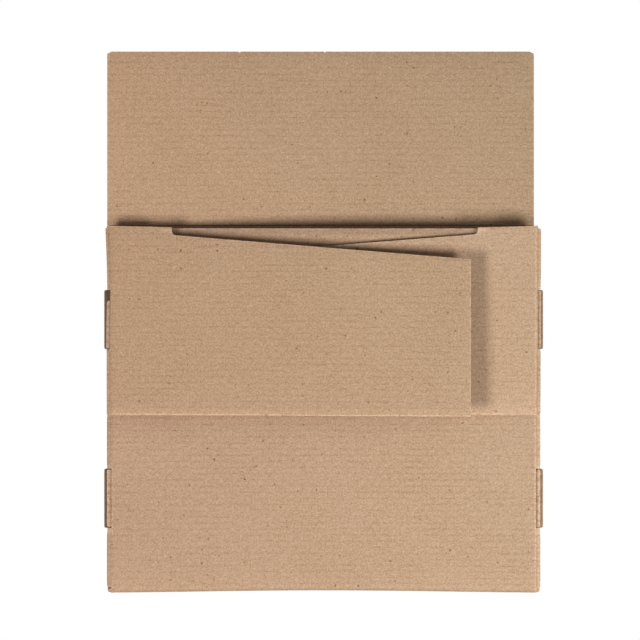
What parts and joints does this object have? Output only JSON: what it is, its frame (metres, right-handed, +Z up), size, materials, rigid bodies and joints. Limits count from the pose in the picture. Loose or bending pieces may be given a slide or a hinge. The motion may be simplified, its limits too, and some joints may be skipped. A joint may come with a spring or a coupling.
{
  "type": "flattened cardboard box",
  "caption": "Plain brown corrugated carton blank folded flat, with long end flaps folded over the front and a closing panel lying out beyond them.",
  "frame": {"origin": "under the middle of the folded blank, on the surface it lies on", "axes": "+X across the blank along the folds of its panels, +Y from the bottom fold towards the closing panel's free edge, +Z up from the back panels through the layers"},
  "size_m": [0.2418, 0.2982, 0.0292],
  "materials": {
    "board": "matt kraft paper liners, unprinted, with open fluted edges"
  },
  "bodies": {
    "root": {"folded_blank": "board"},
    "left_flap": {"left_end_flap": "board"},
    "closing": {"closing_panel": "board"}
  },
  "joints": [
    {"name": "left_flap_hinge", "type": "hinge", "parent": "root", "child": "left_flap", "pos_m": [-0.1193, -0.05141, 0.00705], "axis": [0, -0.999, -0.0436], "range_deg": [0, 175]},
    {"name": "closing_panel_hinge", "type": "hinge", "parent": "root", "child": "closing", "pos_m": [0, 0.0532, 0.0015], "axis": [1, 0, 0], "range_deg": [0, 90]}
  ]
}
